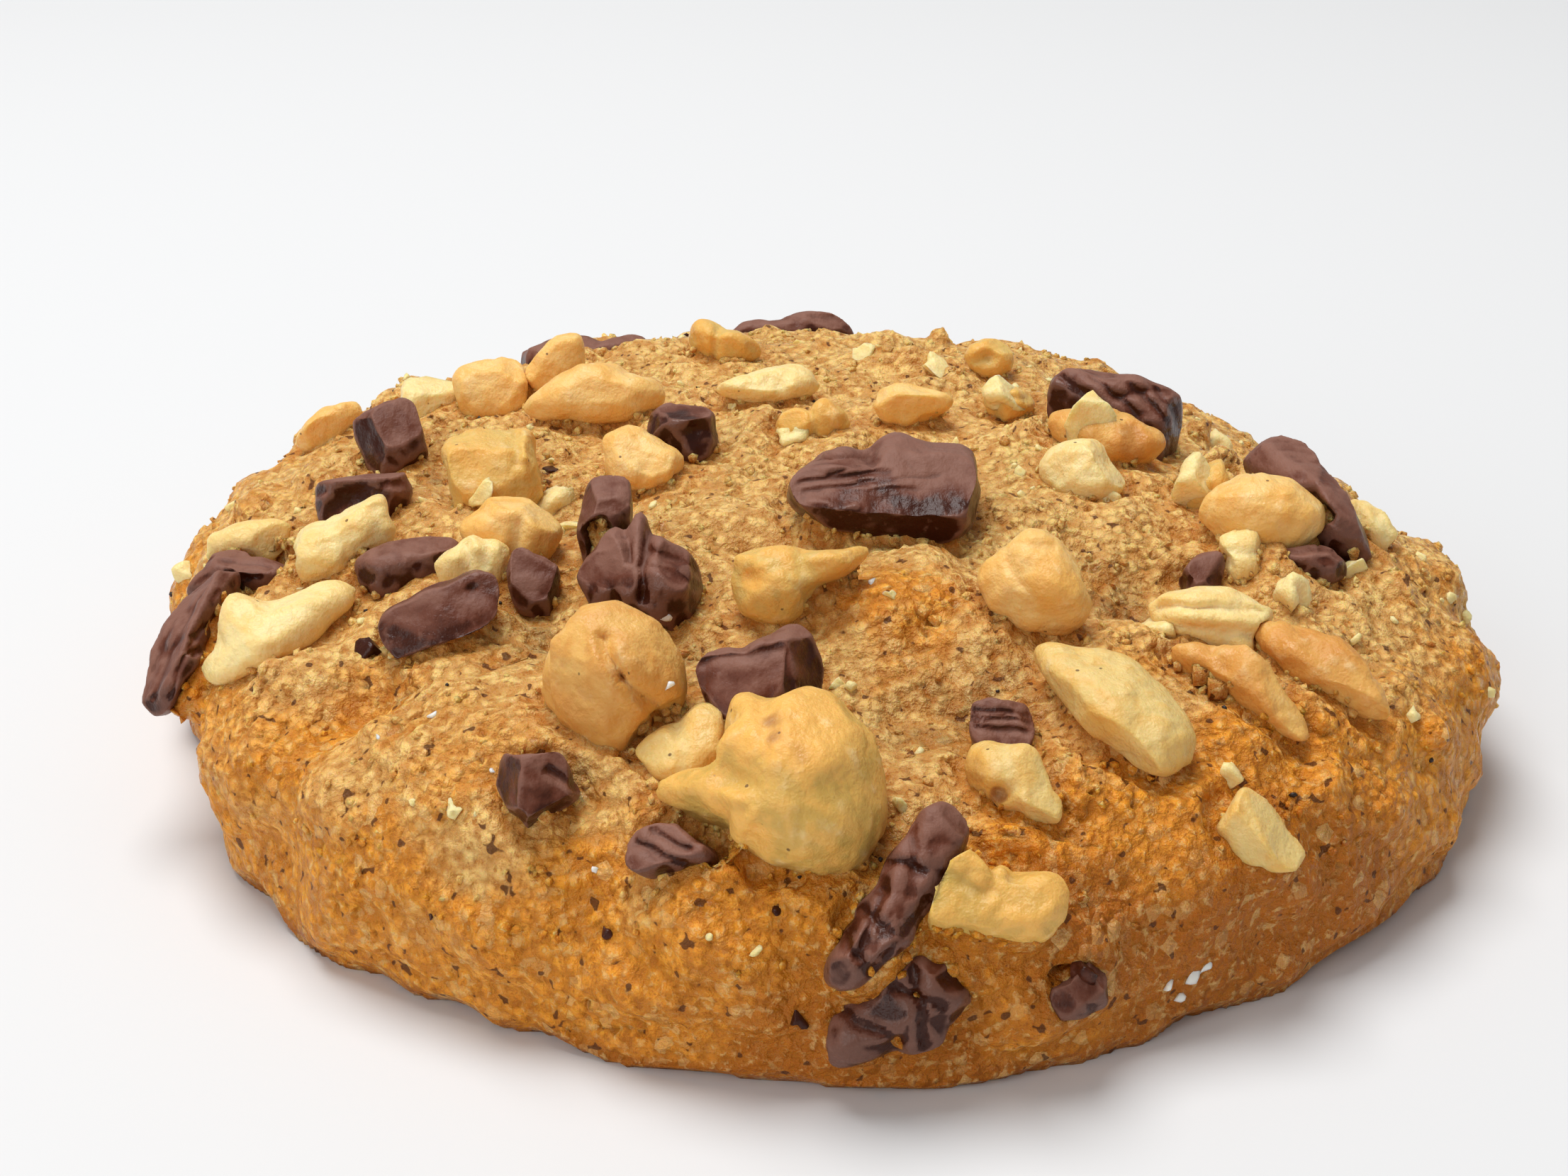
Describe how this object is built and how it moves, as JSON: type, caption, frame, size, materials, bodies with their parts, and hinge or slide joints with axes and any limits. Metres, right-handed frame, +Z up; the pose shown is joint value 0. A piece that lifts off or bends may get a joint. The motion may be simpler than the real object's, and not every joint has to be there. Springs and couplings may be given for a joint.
{
  "type": "peanut butter cookie",
  "caption": "Thick round peanut butter cookie with a cracked golden crumb, set all over with chopped roasted peanuts and dark chocolate chunks, lying on its flat base.",
  "frame": {"origin": "middle of the outline, on the surface that the cookie lies on", "axes": "+Z up out of the flat base, -Y towards the side that was pictured, +X to the right of it"},
  "size_m": [0.0904, 0.0952, 0.023],
  "materials": {
    "dough": "matte baked crumb, golden tan, browner at the rim and base",
    "peanut": "satin roasted nut, cream with toasted golden patches",
    "chocolate": "satin dark chocolate, duller and paler on its upper faces"
  },
  "bodies": {
    "root": {"chocolate_bit_centre": "chocolate", "chocolate_block_left": "chocolate", "chocolate_chip_front": "chocolate", "chocolate_cube_left": "chocolate", "chocolate_flake_front": "chocolate", "chocolate_long_back": "chocolate", "chocolate_long_back_left": "chocolate", "chocolate_lump_front": "chocolate", "chocolate_oval_right": "chocolate", "chocolate_plate_left": "chocolate", "chocolate_plate_right": "chocolate", "chocolate_pyramid_front": "chocolate", "chocolate_ridge_left": "chocolate", "chocolate_ridged_centre": "chocolate", "chocolate_rim_left": "chocolate", "chocolate_rim_right": "chocolate", "chocolate_round_back": "chocolate", "chocolate_saddle_left": "chocolate", "chocolate_slab_back_right": "chocolate", "chocolate_slab_centre": "chocolate", "chocolate_slab_left": "chocolate", "chocolate_stick_front": "chocolate", "chocolate_upright_left": "chocolate", "chocolate_wedge_centre": "chocolate", "dough": "dough", "peanut_behind_hooked": "peanut", "peanut_bit_back_right": "peanut", "peanut_block_back_left": "peanut", "peanut_chip_right": "peanut", "peanut_chunk_centre": "peanut", "peanut_chunk_right_front": "peanut", "peanut_club_centre": "peanut", "peanut_crumbly_left": "peanut", "peanut_cube_left": "peanut", "peanut_dusted_left": "peanut", "peanut_flat_right": "peanut", "peanut_half_back": "peanut", "peanut_half_back_right": "peanut", "peanut_half_centre": "peanut", "peanut_half_front_right": "peanut", "peanut_half_right": "peanut", "peanut_hooked_front": "peanut", "peanut_knob_back": "peanut", "peanut_leaf_left": "peanut", "peanut_leaning_back": "peanut", "peanut_lobed_back": "peanut", "peanut_notched_front": "peanut", "peanut_pale_back": "peanut", "peanut_pointed_back": "peanut", "peanut_rim_back_left": "peanut", "peanut_rim_right": "peanut", "peanut_ring_back_right": "peanut", "peanut_skin_front": "peanut", "peanut_sliver_left": "peanut", "peanut_sliver_right": "peanut", "peanut_split_round": "peanut", "peanut_star_left": "peanut", "peanut_toasted_left": "peanut", "peanut_toasted_right": "peanut", "peanut_under_right": "peanut"}
  },
  "joints": []
}
